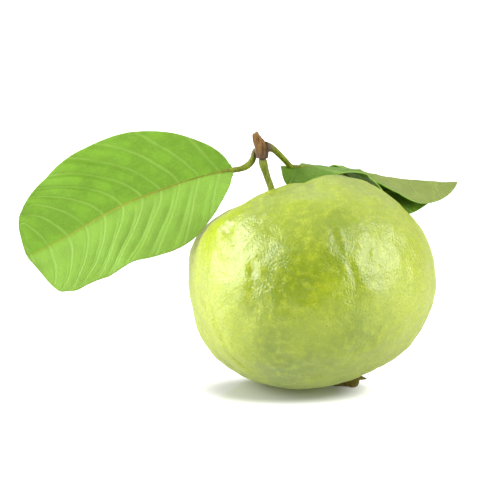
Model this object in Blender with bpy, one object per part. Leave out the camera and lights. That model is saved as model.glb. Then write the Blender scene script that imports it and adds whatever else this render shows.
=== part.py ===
"""A round guava, picked with a stub of its twig and two leaves.

Units are metres and +Z is up. The origin is the centre of the small flat spot that the
fruit rests on. Seen from the front, along +Y, the large open leaf is on the left (-X). The
smaller leaf lies behind the fruit on the right (+X), with its far edge folded over.
"""

import math
from typing import NamedTuple

import bmesh
import bpy
from mathutils import Vector, noise
from mathutils.bvhtree import BVHTree

MM = 0.001
UP = Vector((0, 0, 1))

# Space that is left between two pieces that touch.
GAP = 0.3 * MM

# Plain colour and roughness of each piece.
SKIN_LOOK = ((0.49, 0.58, 0.11), 0.35)
CALYX_LOOK = ((0.17, 0.13, 0.035), 0.8)
STALK_LOOK = ((0.20, 0.25, 0.03), 0.5)
BARK_LOOK = ((0.23, 0.15, 0.06), 0.85)
LEFT_LEAF_LOOK = ((0.28, 0.48, 0.05), 0.45)
RIGHT_LEAF_LOOK = ((0.15, 0.28, 0.02), 0.45)
SHARP_ANGLE = math.radians(50)

# Fruit: a flattened ball, a little lopsided. FORM_AXIS is the axis that it is flattened
# along, POLE_AXIS runs up to the stalk's hollow, and CALYX_AXIS down to the calyx.
FRUIT_CENTRE = Vector((3.6, -3.2, 42.7)) * MM
FORM_AXIS = Vector((-0.21, 0.19, 1.0)).normalized()
POLE_AXIS = Vector((-0.47, 0.23, 1.0)).normalized()
CALYX_AXIS = Vector((0.37, -0.05, -1.0)).normalized()
FRUIT_EQUATOR_RADIUS = 50.6 * MM
FRUIT_POLE_RADIUS = 42.7 * MM
FRUIT_SQUARENESS = 2.16
FURROW_END_SPREAD = math.radians(10)
FRUIT_COLUMNS = 72
FRUIT_ROWS = 34
STALK_HOLLOW_DEPTH = 3.7 * MM
STALK_HOLLOW_SPREAD = math.radians(15)
CALYX_BASIN_DEPTH = 1.0 * MM
CALYX_BASIN_SPREAD = math.radians(13)
KNOB_SIZE = 15 * MM
KNOB_HEIGHT = 0.4 * MM

# Swellings and hollows of the skin, as seen from the fruit's centre: degrees round from the
# front towards +X, degrees up, spread in degrees, and height.
SWELLS = [
    (-95, 21, 16, 1.8 * MM),
    (-104, 45, 17, -3.6 * MM),
    (169, 75, 12, -2.5 * MM),
    (79, 80, 5.5, 1.4 * MM),
    (102, 42, 17, -2.9 * MM),
    (-90, 0, 16, -2.3 * MM),
]

# Soft furrows in the skin: degrees round and up at each end, width in degrees, and depth.
FURROWS = [
    ((-62, -4), (-50, -60), 3.5, 0.9 * MM),
    ((-4, 69), (-158, 65), 3.5, 2.0 * MM),
]

# Calyx: a short crown of dry lobes round the bottom pole.
CALYX_LOBES = 5
CALYX_COLUMNS = 40
CALYX_FOOT_RADIUS = 5.0 * MM
CALYX_RIM_RADIUS = 5.8 * MM
CALYX_RIM_HEIGHT = 1.9 * MM
LOBE_FLARE = 1.4 * MM
LOBE_HEIGHT = 2.2 * MM
LOBE_POINTEDNESS = 0.8
CALYX_WALL = 0.9 * MM
CALYX_SKIRT_SHARE = 0.4
CALYX_FLOOR_RADIUS = 3.2 * MM
CALYX_FLOOR_HEIGHT = 0.9 * MM
CALYX_LOWEST = 0.3 * MM

# Stalk, from its top under the twig down into the hollow of the fruit, with its radius.
STALK_SIDES = 14
STALK_POINTS = [(-15.8, 7.5, 89.7), (-15.2, 7.1, 87.0), (-13.5, 6.0, 82.2), (-11.8, 4.6, 77.2)]
STALK_RADII = [2.05, 1.75, 1.4, 1.5]
STALK_FOOT_RADIUS = 2.2 * MM

# Twig: a woody stub, torn off at the top, with its radius.
TWIG_SIDES = 16
TWIG_POINTS = [
    (-15.7, 7.6, 90.3), (-15.9, 7.8, 91.7), (-16.0, 7.8, 93.6), (-16.5, 7.9, 95.6), (-17.5, 8.1, 97.6),
    (-18.4, 8.3, 100.3),
]
TWIG_RADII = [2.15, 2.45, 2.8, 2.7, 2.2, 1.6]
TORN_SLANTS = (0.6, 1.0)
SPLINTER_HEIGHT = 0.7 * MM

# Leaf blades. Rows are stations along the rib and columns stations across, each 0 to 1.
BLADE_THICKNESS = 0.7 * MM
VEIN_SWEEP_POWER = 1.3
OUTLINE_POWER = 0.5
BLUNT_TIP = 0.97
FLAT_CURL = 1e-6
BASE_LOBE_REACH = 0.04
BASE_LOBE_POWER = 2.0
RIB_DEPTH = 0.8 * MM
CURL_UNIT = 10
RIB_SHARE = 0.06
RIB_TAPER = 0.8
VEIN_BOW_POWER = 0.8

# Columns of a folded far half: the share of its width where the crease and its bend may lie,
# and how many columns lie inside the crease and on the flap.
CREASE_SHARES = (0.14, 0.88)
LEAST_BEND_SHARE = 0.06
MOST_BEND_SHARE = 0.95
INNER_COLUMNS = 3
FLAP_COLUMNS = 3

# Rows of a blade beside those on its veins.
BASE_ROWS = [0.012, 0.020]
TIP_ROWS = [0.985, 0.994, 0.999]

# Steps along a curve, in mm, between which its direction is taken.
RIB_STEP = 0.5
ROD_STEP = 0.2


class Fold(NamedTuple):
    """A crease along a blade, past which it bends over: stations along and across in mm.

    Near its start the crease runs out to the margin, by run_out over about run_out_length.
    """

    start: tuple
    end: tuple
    run_out: float
    run_out_length: float
    radius: float
    turn_deg: float


class Leaf(NamedTuple):
    """A leaf's measures in mm and degrees. Lists beside rib hold one value for each rib point.

    Curls are in degrees over each CURL_UNIT of width. A pair holds far side, then near side.
    """

    name: str
    look: tuple
    petiole: list
    petiole_radii: list
    rib: list
    tilts: list
    creases: list
    far_curls: list
    near_curls: list
    far_width: list
    near_width: list
    veins: int
    vein_lean: float
    relief: float
    base_lobes: tuple
    far_columns: int
    near_columns: int
    rows_a_vein: int
    waves: float
    wave_height: float
    fold: Fold


LEFT_LEAF = Leaf(
    name="leaf_left",
    look=LEFT_LEAF_LOOK,
    petiole=[
        (-18.9, 10.8, 92.0), (-19.3, 9.7, 90.0), (-20.5, 8.2, 88.2), (-22.3, 7.2, 86.9), (-24.7, 6.2, 86.1),
    ],
    petiole_radii=[1.15, 1.25, 1.35, 1.3, 1.15],
    rib=[
        (-27.9, 5.5, 85.7), (-37.6, 5.0, 83.7), (-47.2, 4.0, 81.1), (-58.0, 2.0, 77.5), (-68.7, -0.6, 73.8),
        (-79.2, -3.6, 69.0), (-88.4, -6.5, 64.1), (-95.4, -8.9, 60.4), (-102.4, -11.2, 57.1),
        (-106.6, -12.7, 55.4), (-108.9, -13.6, 54.5),
    ],
    tilts=[45, 50, 51, 51, 51, 51, 51, 51, 51, 51, 51],
    creases=[14, 14, 12, 10, 9, 9, 8, 8, 7, 6, 6],
    far_curls=[6, 6, 4, 3, 3, 2, 2, 2, 2, 2, 2],
    near_curls=[14, 12, 8, 5, 3, 2, 2, 2, 2, 2, 2],
    far_width=[23.9, 25.7, 28.5, 29.6, 29.8, 29.8, 30.7, 33.4, 37.7, 43.2, 29.3],
    near_width=[28.5, 29.1, 29.4, 29.1, 27.4, 26.3, 29.2, 32.7, 43.1, 46.9, 18.5],
    veins=10,
    vein_lean=0.14,
    relief=0.28,
    base_lobes=(0.5, 1.0),
    far_columns=6,
    near_columns=6,
    rows_a_vein=2,
    waves=3.5,
    wave_height=0.6,
    fold=None,
)

RIGHT_LEAF = Leaf(
    name="leaf_right",
    look=RIGHT_LEAF_LOOK,
    petiole=[(-12.4, 9.5, 94.1), (-10.9, 11.0, 93.0), (-8.6, 13.5, 90.4), (-6.0, 16.4, 87.2)],
    petiole_radii=[1.5, 1.3, 1.2, 1.15],
    rib=[
        (-3.8, 19.0, 84.5), (1.9, 19.8, 84.4), (8.0, 24.0, 84.0), (17.0, 34.0, 80.0),
        (33.0, 45.0, 68.9), (59.3, 56.6, 69.8), (66.7, 59.6, 71.3),
    ],
    tilts=[12, 5, -1, -6, 22, 50, 55],
    creases=[-18, -10, -2, 0, 2, 0, 0],
    far_curls=[2, 6, 2, 2, 0, 0, 0],
    near_curls=[50, 16, 6, 3, 0, 0, 0],
    far_width=[16, 15.5, 15, 13, 21, 27, 17],
    near_width=[22.5, 17.6, 13, 13, 13.5, 10, 6],
    veins=9,
    vein_lean=0.13,
    relief=0.25,
    base_lobes=(8.5, 10.5),
    far_columns=11,
    near_columns=5,
    rows_a_vein=4,
    waves=2.5,
    wave_height=1.7,
    fold=Fold(
        start=(43.0, 3.0), end=(83.0, -4.8), run_out=7.0, run_out_length=20.0, radius=2.1, turn_deg=166,
    ),
)


def compass(round_deg, up_deg):
    """Unit vector that points round_deg from the front towards +X, and up_deg above level."""
    round_angle = math.radians(round_deg)
    up_angle = math.radians(up_deg)
    level = math.cos(up_angle)
    return Vector((level * math.sin(round_angle), -level * math.cos(round_angle), math.sin(up_angle)))


def bell(angle, spread):
    """A smooth bump of height 1, in terms of an angle from its middle."""
    return math.exp(-0.5 * (angle / spread) ** 2)


def within(value, lowest, highest):
    return max(lowest, min(highest, value))


def fruit_radius(direction):
    """Distance from the fruit's centre to its skin along a unit vector."""
    along = abs(direction.dot(FORM_AXIS))
    across = math.sqrt(max(0.0, 1 - along * along))
    power = FRUIT_SQUARENESS
    radius = ((across / FRUIT_EQUATOR_RADIUS) ** power + (along / FRUIT_POLE_RADIUS) ** power) ** (-1 / power)
    radius -= STALK_HOLLOW_DEPTH * bell(direction.angle(POLE_AXIS), STALK_HOLLOW_SPREAD)
    radius -= CALYX_BASIN_DEPTH * bell(direction.angle(CALYX_AXIS), CALYX_BASIN_SPREAD)
    for round_deg, up_deg, spread_deg, height in SWELLS:
        away = direction.angle(compass(round_deg, up_deg))
        radius += height * bell(away, math.radians(spread_deg))
    for start, end, width_deg, depth in FURROWS:
        first = compass(*start)
        last = compass(*end)
        middle = (first + last).normalized()
        aside = math.asin(within(direction.dot(first.cross(last).normalized()), -1, 1))
        beyond = max(0.0, direction.angle(middle) - first.angle(last) / 2)
        radius -= depth * bell(aside, math.radians(width_deg)) * bell(beyond, FURROW_END_SPREAD)
    radius += KNOB_HEIGHT * noise.fractal(direction * (radius / KNOB_SIZE), 0.8, 2.0, 2)
    return radius


def spline(stations, values, at):
    """Smooth curve through values, numbers or vectors, at their stations; straight beyond them."""
    last = len(stations) - 1
    span = 0
    while span < last - 1 and at > stations[span + 1]:
        span += 1

    def slope(index):
        before = max(0, index - 1)
        after = min(last, index + 1)
        return (values[after] - values[before]) / (stations[after] - stations[before])

    if at <= stations[0]:
        return values[0] + slope(0) * (at - stations[0])
    if at >= stations[last]:
        return values[last] + slope(last) * (at - stations[last])
    width = stations[span + 1] - stations[span]
    part = (at - stations[span]) / width
    rest = 1 - part
    return (
        values[span] * (rest * rest * (1 + 2 * part))
        + slope(span) * (width * part * rest * rest)
        + values[span + 1] * (part * part * (3 - 2 * part))
        - slope(span + 1) * (width * part * part * rest)
    )


def heading(stations, points, at, step):
    """Unit vector along the smooth curve through points, at a station."""
    return (spline(stations, points, at + step) - spline(stations, points, at - step)).normalized()


def polyline(stations, values, at):
    """Straight lines through values at their stations."""
    for index in range(len(stations) - 1):
        if at <= stations[index + 1]:
            part = (at - stations[index]) / (stations[index + 1] - stations[index])
            return values[index] + (values[index + 1] - values[index]) * part
    return values[-1]


def distances(points):
    """Distance along a row of points to each of them, from the first."""
    reached = [0.0]
    for near, far in zip(points, points[1:]):
        reached.append(reached[-1] + (far - near).length)
    return reached


def ring_frame(direction, reference):
    """Two unit vectors square to a direction, the first of them nearest to the reference."""
    first = (reference - direction * reference.dot(direction)).normalized()
    return first, direction.cross(first)


def loft(shape, rings):
    """Skins rings of equally many points with quads and closes both ends."""
    rows = [[shape.verts.new(point) for point in ring] for ring in rings]
    for row, next_row in zip(rows, rows[1:]):
        for index in range(len(row)):
            after = (index + 1) % len(row)
            shape.faces.new((row[index], row[after], next_row[after], next_row[index]))
    shape.faces.new(reversed(rows[0]))
    shape.faces.new(rows[-1])
    return rows


def add_part(name, shape, look):
    """Makes a named object from a bmesh, smooth shaded, with its own plain material."""
    colour, roughness = look
    bmesh.ops.recalc_face_normals(shape, faces=shape.faces)
    mesh = bpy.data.meshes.new(name)
    shape.to_mesh(mesh)
    shape.free()
    part = bpy.data.objects.new(name, mesh)
    bpy.context.scene.collection.objects.link(part)
    material = bpy.data.materials.new(name)
    material.use_nodes = True
    shader = material.node_tree.nodes["Principled BSDF"]
    shader.inputs["Base Color"].default_value = (*colour, 1)
    shader.inputs["Roughness"].default_value = roughness
    mesh.materials.append(material)
    mesh.shade_smooth()
    mesh.set_sharp_from_angle(angle=SHARP_ANGLE)
    return part


def make_fruit():
    """The fruit, cut level where it rests. Returns its skin, to set other pieces on."""
    shape = bmesh.new()
    bmesh.ops.create_uvsphere(shape, u_segments=FRUIT_COLUMNS, v_segments=FRUIT_ROWS, radius=1)
    upright = UP.rotation_difference(POLE_AXIS).to_matrix()
    for vertex in shape.verts:
        direction = upright @ vertex.co.normalized()
        vertex.co = FRUIT_CENTRE + direction * fruit_radius(direction)
    everything = shape.verts[:] + shape.edges[:] + shape.faces[:]
    cut = bmesh.ops.bisect_plane(shape, geom=everything, plane_co=(0, 0, 0), plane_no=-UP, clear_outer=True)
    rim = [piece for piece in cut["geom_cut"] if isinstance(piece, bmesh.types.BMEdge)]
    bmesh.ops.edgeloop_fill(shape, edges=rim)
    skin = BVHTree.FromBMesh(shape)
    add_part("fruit", shape, SKIN_LOOK)
    return skin


def above_skin(skin, point, height):
    """The place at a height over the skin, straight out from the fruit's centre past a point."""
    direction = (point - FRUIT_CENTRE).normalized()
    outside = FRUIT_CENTRE + direction * 2 * FRUIT_EQUATOR_RADIUS
    return skin.ray_cast(outside, -direction)[0] + direction * height


def make_calyx(skin):
    """The crown at the bottom pole: its rings run from the foot over the lobes to the floor."""
    pole = above_skin(skin, FRUIT_CENTRE + CALYX_AXIS, GAP)
    first, second = ring_frame(CALYX_AXIS, Vector((1, 0, 0)))
    shape = bmesh.new()
    rings = [[] for _ in range(6)]
    for column in range(CALYX_COLUMNS):
        angle = 2 * math.pi * column / CALYX_COLUMNS
        lobe = (0.5 + 0.5 * math.cos(CALYX_LOBES * angle)) ** LOBE_POINTEDNESS
        aside = first * math.cos(angle) + second * math.sin(angle)
        rim_radius = CALYX_RIM_RADIUS + LOBE_FLARE * lobe
        rim_height = CALYX_RIM_HEIGHT + LOBE_HEIGHT * lobe
        foot = above_skin(skin, pole + aside * CALYX_FOOT_RADIUS, GAP)
        rings[0].append(above_skin(skin, pole + aside * CALYX_FLOOR_RADIUS, GAP))
        rings[1].append(foot)
        rim = pole + aside * rim_radius
        rim_height = min(rim_height, (CALYX_LOWEST - rim.z) / CALYX_AXIS.z)
        rings[2].append(foot + CALYX_AXIS * (CALYX_SKIRT_SHARE * rim_height))
        rings[3].append(rim + CALYX_AXIS * rim_height)
        rings[4].append(rim - aside * CALYX_WALL + CALYX_AXIS * rim_height)
        rings[5].append(pole + aside * CALYX_FLOOR_RADIUS + CALYX_AXIS * CALYX_FLOOR_HEIGHT)
    loft(shape, rings)
    add_part("calyx", shape, CALYX_LOOK)


def tube_rings(points, radii, sides):
    """Rings of a round rod along a smooth curve through its points, given in mm."""
    centres = [Vector(point) * MM for point in points]
    stations = distances(centres)
    rings = []
    for station, centre, radius in zip(stations, centres, radii):
        onward = heading(stations, centres, station, ROD_STEP * MM)
        first, second = ring_frame(onward, Vector((1, 0, 0)))
        ring = []
        for side in range(sides):
            angle = 2 * math.pi * side / sides
            ring.append(centre + (first * math.cos(angle) + second * math.sin(angle)) * (radius * MM))
        rings.append(ring)
    return rings


def make_stalk(skin):
    """The fruit's own stalk, with a foot that spreads a little on the skin."""
    rings = tube_rings(STALK_POINTS, STALK_RADII, STALK_SIDES)
    centre = Vector(STALK_POINTS[-1]) * MM
    spread = STALK_FOOT_RADIUS / (STALK_RADII[-1] * MM)
    rings.append([above_skin(skin, centre + (point - centre) * spread, GAP) for point in rings[-1]])
    shape = bmesh.new()
    foot = loft(shape, rings)[-1]
    under = bmesh.ops.poke(shape, faces=[face for face in shape.faces if set(face.verts) == set(foot)])
    under["verts"][0].co = above_skin(skin, under["verts"][0].co, GAP)
    add_part("fruit_stalk", shape, STALK_LOOK)


def make_twig():
    """The woody stub: it is torn off to a splintered ridge that falls away on the right."""
    rings = tube_rings(TWIG_POINTS, TWIG_RADII, TWIG_SIDES)
    centre = Vector(TWIG_POINTS[-1]) * MM
    for index, point in enumerate(rings[-1]):
        splinter = SPLINTER_HEIGHT * (1 if index % 3 == 0 else -0.3)
        aside = point.x - centre.x
        rings[-1][index] = point + UP * (splinter - abs(aside) * TORN_SLANTS[0 if aside < 0 else 1])
    shape = bmesh.new()
    top = loft(shape, rings)[-1]
    torn = bmesh.ops.poke(shape, faces=[face for face in shape.faces if set(face.verts) == set(top)])
    torn["verts"][0].co -= UP * SPLINTER_HEIGHT
    add_part("twig", shape, BARK_LOOK)


def fold_over(fold, along, across, height):
    """Bends what lies past a fold's line over it. Returns along, across, height and the turn."""
    start = Vector(fold.start)
    line = (Vector(fold.end) - start).normalized()
    past_way = Vector((-line.y, line.x))
    offset = Vector((along, across)) - start
    crease = fold.run_out * math.exp(-offset.dot(line) / fold.run_out_length)
    past = offset.dot(past_way) - crease
    if past <= 0:
        return along, across, height
    full_turn = math.radians(fold.turn_deg)
    turn = min(past / fold.radius, full_turn)
    straight = max(0.0, past - fold.radius * full_turn)
    reach = fold.radius * math.sin(turn) + straight * math.cos(turn) - height * math.sin(turn)
    lift = fold.radius * (1 - math.cos(turn)) + straight * math.sin(turn) + height * math.cos(turn)
    place = start + line * offset.dot(line) + past_way * (crease + reach)
    return place.x, place.y, lift


def leaf_frame(leaf, stations, points, at):
    """Point of the rib, direction along it, direction to the far side, and blade normal."""
    onward = heading(stations, points, at, RIB_STEP)
    tilt = math.radians(spline(stations, leaf.tilts, within(at, 0, stations[-1])))
    normal, side = ring_frame(onward, Vector((0, -math.sin(tilt), math.cos(tilt))))
    if side.y < 0:
        side = -side
    return spline(stations, points, at), side, normal


def blade_point(leaf, stations, points, along, across, height):
    """World place of a point of the blade, in mm: along the rib, across it, and over the blade."""
    if leaf.fold:
        along, across, height = fold_over(leaf.fold, along, across, height)
    rib_point, side, normal = leaf_frame(leaf, stations, points, along)
    curls = leaf.far_curls if across > 0 else leaf.near_curls
    if across < 0:
        side = -side
    away = abs(across)
    on_rib = within(along, 0, stations[-1])
    start_angle = math.radians(spline(stations, leaf.creases, on_rib))
    bend = math.radians(spline(stations, curls, on_rib)) / CURL_UNIT + FLAT_CURL
    end_angle = start_angle - bend * away
    out = (math.sin(start_angle) - math.sin(end_angle)) / bend
    rise = (math.cos(end_angle) - math.cos(start_angle)) / bend
    facing = normal * math.cos(end_angle) - side * math.sin(end_angle)
    return rib_point + side * out + normal * rise + facing * height


def width_share(leaf, stations, row, step):
    """How far out a column lies, from 0 at the rib to 1 at the margin.

    The columns of a folded far half close up round its crease.
    """
    if step < 0 or not leaf.fold:
        columns = leaf.far_columns if step > 0 else leaf.near_columns
        return RIB_SHARE + (1 - RIB_SHARE) * (abs(step) - 1) / (columns - 1)
    fold = leaf.fold
    along = (row + leaf.vein_lean / 2) * stations[-1]
    past_start = along - fold.start[0]
    slant = (fold.end[1] - fold.start[1]) / (fold.end[0] - fold.start[0])
    crease = fold.start[1] + slant * past_start + fold.run_out * math.exp(-past_start / fold.run_out_length)
    share = min(along / stations[-1], BLUNT_TIP)
    width = spline(stations, leaf.far_width, along) * math.sin(math.pi * share) ** OUTLINE_POWER
    bend = fold.radius * math.radians(fold.turn_deg)
    crease_share = within(crease / width, *CREASE_SHARES)
    bend_share = within((crease + bend) / width, crease_share + LEAST_BEND_SHARE, MOST_BEND_SHARE)
    stops = [RIB_SHARE, crease_share, bend_share, 1]
    counts = [0, INNER_COLUMNS, leaf.far_columns - 1 - FLAP_COLUMNS, leaf.far_columns - 1]
    return polyline(counts, stops, step - 1)


def leaf_rings(leaf):
    """Rings of the whole leaf in mm: round ones down the petiole, then flat ones of the blade."""
    points = [Vector(point) for point in leaf.rib]
    stations = distances(points)
    length = stations[-1]
    stalk = [Vector(point) for point in leaf.petiole] + [points[0]]
    stalk_stations = distances(stalk)
    radii = leaf.petiole_radii + leaf.petiole_radii[-1:]
    rings = []
    steps = range(-leaf.near_columns, leaf.far_columns + 1)
    half_ring = len(steps)
    for station, centre, radius in zip(stalk_stations, stalk, radii):
        onward = heading(stalk_stations, stalk, station, ROD_STEP)
        _, side, normal = leaf_frame(leaf, stations, points, 0)
        normal, _ = ring_frame(onward, normal)
        side, _ = ring_frame(onward, side)
        ring = []
        for index in range(2 * half_ring):
            angle = math.pi * (index + 0.5) / half_ring
            ring.append(centre + (normal * math.sin(angle) - side * math.cos(angle)) * radius)
        rings.append(ring)
    for row in blade_rows(leaf):
        top = []
        bottom = []
        for step in steps:
            column = math.copysign(width_share(leaf, stations, row, step), step) if step else 0
            margin = row + leaf.vein_lean * math.sin(math.pi * row ** VEIN_BOW_POWER)
            share = row + (margin - row) * abs(column) ** VEIN_SWEEP_POWER
            widths = leaf.far_width if column > 0 else leaf.near_width
            width = spline(stations, widths, share * length) * math.sin(math.pi * share) ** OUTLINE_POWER
            across = column * max(width, leaf.petiole_radii[-1])
            lobe = leaf.base_lobes[0 if column > 0 else 1] * abs(column) ** BASE_LOBE_POWER
            reach = row / BASE_LOBE_REACH
            along = share * length - lobe * reach * math.exp(1 - reach)
            inner = math.sin(math.pi * abs(column))
            relief = -leaf.relief * inner * math.cos(2 * math.pi * leaf.veins * row)
            wave = leaf.wave_height * column * column * math.sin(2 * math.pi * leaf.waves * share)
            fade = math.sin(math.pi * row)
            middle = relief * fade + wave * fade
            rib = RIB_DEPTH / MM * (1 - RIB_TAPER * row) if column == 0 else 0
            half = BLADE_THICKNESS / MM / 2
            top.append(blade_point(leaf, stations, points, along, across, middle + half))
            bottom.append(blade_point(leaf, stations, points, along, across, middle - half - rib))
        rings.append(top + bottom[::-1])
    return rings


def blade_rows(leaf):
    """Stations of the blade's rows, from 0 to 1: evenly on and between the veins, and at the ends."""
    count = leaf.rows_a_vein * leaf.veins
    return BASE_ROWS + [step / count for step in range(1, count)] + TIP_ROWS


def make_leaf(leaf):
    """A leaf with its petiole. Both faces of the blade are split into triangles alike."""
    rings = [[point * MM for point in ring] for ring in leaf_rings(leaf)]
    shape = bmesh.new()
    rows = [[shape.verts.new(point) for point in ring] for ring in rings]
    around = len(rows[0])
    for row, next_row in zip(rows, rows[1:]):
        for index in range(around):
            after = (index + 1) % around
            if index < around // 2:
                shape.faces.new((row[index], row[after], next_row[after]))
                shape.faces.new((row[index], next_row[after], next_row[index]))
            else:
                shape.faces.new((row[index], row[after], next_row[index]))
                shape.faces.new((row[after], next_row[after], next_row[index]))
    shape.faces.new(reversed(rows[0]))
    shape.faces.new(rows[-1])
    add_part(leaf.name, shape, leaf.look)


def clear_scene():
    for thing in list(bpy.data.objects):
        bpy.data.objects.remove(thing)


def main():
    clear_scene()
    skin = make_fruit()
    make_calyx(skin)
    make_stalk(skin)
    make_twig()
    make_leaf(LEFT_LEAF)
    make_leaf(RIGHT_LEAF)


main()
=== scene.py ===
"""Looks of the guava: the fruit, its calyx, stalk, torn twig and two leaves, and the stage.

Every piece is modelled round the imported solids, in metres, with +Z up and the floor at 0.
"""

import math
from typing import NamedTuple

import bpy
from bpy.props import FloatProperty, FloatVectorProperty, PointerProperty
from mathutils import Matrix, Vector, noise
from mathutils.bvhtree import BVHTree


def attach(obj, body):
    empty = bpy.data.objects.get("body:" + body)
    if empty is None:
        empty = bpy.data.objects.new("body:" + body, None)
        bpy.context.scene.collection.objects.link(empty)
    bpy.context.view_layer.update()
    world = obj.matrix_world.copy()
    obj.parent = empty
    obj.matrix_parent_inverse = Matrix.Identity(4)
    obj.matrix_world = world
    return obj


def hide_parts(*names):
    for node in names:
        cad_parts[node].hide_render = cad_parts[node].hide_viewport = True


bl_info = {
    "name": "Guava with two leaves",
    "version": (1, 0, 0),
    "blender": (4, 5, 0),
    "location": "3D view > Sidebar > Guava",
    "description": "Models a round guava with its stalk, twig and leaves, and the stage for it",
    "category": "Object",
}

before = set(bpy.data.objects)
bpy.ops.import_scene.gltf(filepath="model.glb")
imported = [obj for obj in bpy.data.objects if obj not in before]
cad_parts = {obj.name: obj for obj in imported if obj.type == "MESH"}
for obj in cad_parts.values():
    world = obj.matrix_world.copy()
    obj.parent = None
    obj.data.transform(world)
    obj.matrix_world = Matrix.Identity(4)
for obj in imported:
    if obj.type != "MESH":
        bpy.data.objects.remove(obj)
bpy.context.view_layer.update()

BODY = "root"
MM = 0.001
UP = Vector((0, 0, 1))

# Fruit
FRUIT_CENTRE = Vector((3.6, -3.2, 42.7)) * MM
CALYX_AXIS = Vector((0.37, -0.05, -1.0)).normalized()
FRUIT_CUTS = 27
FRUIT_SUBDIVISIONS = 2
START_CUBE = 120 * MM
# A distance from the fruit's centre that is well outside its skin.
OUTSIDE = 100 * MM

# Lumps of the skin: size of the lumps, and height from hollow to crest.
SKIN_LUMPS = [(0.022, 0.0012), (0.009, 0.0011), (0.0035, 0.00020)]


class Mark(NamedTuple):
    """A mark of the skin: its direction from the centre, its turn from upright, and its size in mm.

    A dent has a height below 0, and a ridge one above 0.
    """

    around_deg: float
    up_deg: float
    turn_deg: float
    length: float
    width: float
    height: float


SKIN_MARKS = [
    Mark(-142, 31, 70, 4.5, 1.9, -1.125),
    Mark(-119, 16, 20, 2.8, 1.8, -0.90),
    Mark(-149, 36, 70, 3.5, 2.0, 0.675),
    Mark(-136, 21, 80, 4.0, 2.4, 0.75),
    Mark(-124, 29, -30, 4.5, 1.6, 0.675),
    Mark(-77, 34, 10, 4.5, 1.3, 0.675),
    Mark(-79, 33, 10, 4.5, 1.3, -0.525),
    Mark(-75, 17, 25, 3.2, 1.2, 0.60),
    Mark(-73, 15, 25, 3.2, 1.3, -0.60),
    Mark(-63, 36, 15, 5.0, 2.0, 0.60),
    Mark(-60, 25, -20, 4.0, 1.8, 0.525),
    Mark(-147, 11, 5, 9.0, 1.3, -0.18),
    Mark(-144, -4, 12, 8.0, 1.2, -0.375),
    Mark(-139, -18, 18, 8.0, 1.1, -0.75),
    Mark(-135, -32, 28, 8.0, 1.2, -0.75),
    Mark(-136, -46, 35, 7.0, 1.2, -0.525),
    Mark(-103, 71, 20, 6.0, 1.8, 0.75),
    Mark(-73, 74, -25, 6.0, 1.8, 0.675),
    Mark(-56, 66, -35, 6.0, 1.8, 0.60),
    Mark(-86, 73, 0, 6.0, 1.6, -0.525),
    Mark(35, 20, 15, 7.0, 1.6, -0.675),
    Mark(80, 35, -25, 6.0, 2.2, -0.60),
    Mark(130, 5, 10, 9.0, 1.5, -0.60),
    Mark(10, -20, 70, 5.0, 2.0, 0.60),
]
# A mark fades out within this many of its lengths.
MARK_REACH = 3.0

# Calyx
CALYX_LOBES = 5
CALYX_FOOT_RADIUS = 5.0 * MM
CALYX_RIM_RADIUS = 5.8 * MM
CALYX_RIM_HEIGHT = 2.9 * MM
LOBE_FLARE = 1.6 * MM
CALYX_WALL = 0.6 * MM
CALYX_FLOOR_RADIUS = 3.2 * MM
CALYX_FLOOR_HEIGHT = 0.9 * MM
CALYX_LOWEST = 0.3 * MM
CALYX_CRINKLE = 0.35 * MM
CALYX_CRINKLE_SIZE = 1.6 * MM
LOBE_BLUNTNESS = 0.8
GAP = 0.25 * MM

# Stalk and twig: points in mm from the bottom up, with the radius there.
STALK_POINTS = [
    (-11.0, 3.8, 75.4), (-11.4, 4.2, 76.1), (-11.8, 4.6, 77.2), (-12.6, 5.3, 79.8),
    (-13.5, 6.0, 82.2), (-14.4, 6.6, 84.6), (-15.2, 7.1, 87.0), (-15.8, 7.6, 90.6),
]
STALK_RADII = [2.2, 1.7, 1.5, 1.4, 1.4, 1.55, 1.75, 2.05]
TWIG_POINTS = [
    (-15.7, 7.6, 90.1), (-15.8, 7.7, 90.8), (-15.9, 7.8, 92.0), (-16.0, 7.8, 93.6),
    (-16.5, 7.9, 95.6), (-17.3, 8.1, 97.2), (-17.9, 8.2, 98.6),
]
TWIG_RADII = [2.15, 2.4, 2.6, 2.8, 2.7, 2.3, 1.95]
TWIG_PEAK = Vector((-18.0, 8.3, 101.0)) * MM
# Slopes of the torn end down from its peak: on the left, on the right, and to the front and back.
TORN_SLANTS = (0.6, 1.2)
TORN_DEPTH_SLANT = 0.5
TORN_RINGS = (0.35, 0.35, 0.4, 0.45)
SPLINTER_SIZE = 0.6 * MM
# Where the stalk and the petioles grow from the twig.
TWIG_JOINT = Vector((-16.0, 7.8, 93.8)) * MM

# Leaf blades
BLADE_GAP = 0.45 * MM
VEIN_SWEEP_POWER = 1.5
VEIN_BOW_POWER = 0.8
OUTLINE_POWER = 0.5
BASE_SQUARENESS = 0.62
GROOVE_DEPTH = 0.16
GROOVE_WIDTH = 0.06
LAST_ROW = 0.9985
# A curl turns the blade by so many degrees in this many mm; a flat blade keeps a trace of it.
CURL_UNIT = 10
FLAT_CURL = 1e-6
RIB_STEP = 0.5
RIB_PARTS = 32
RIB_REACH = 0.97
RIB_TAPER = 0.75
RIB_GRID = (16, 140)
# How strongly the blade swells between its veins, at shares of its length.
QUILTING = ([0.0, 0.15, 0.4, 0.6, 1.0], [1.0, 1.6, 1.1, 0.45, 0.35])


class Fold(NamedTuple):
    """A crease across a blade, past which it bends over: stations along and across in mm."""

    start: tuple
    end: tuple
    run_out: float
    run_out_length: float
    radius: float
    turn_deg: float


class Base(NamedTuple):
    """A rounded base that closes behind the petiole.

    It has the share of the rib where it starts, how far it reaches back in mm, and the share of the
    blade's rows that fan out round it.
    """

    share: float
    back: float
    rows: float


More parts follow.
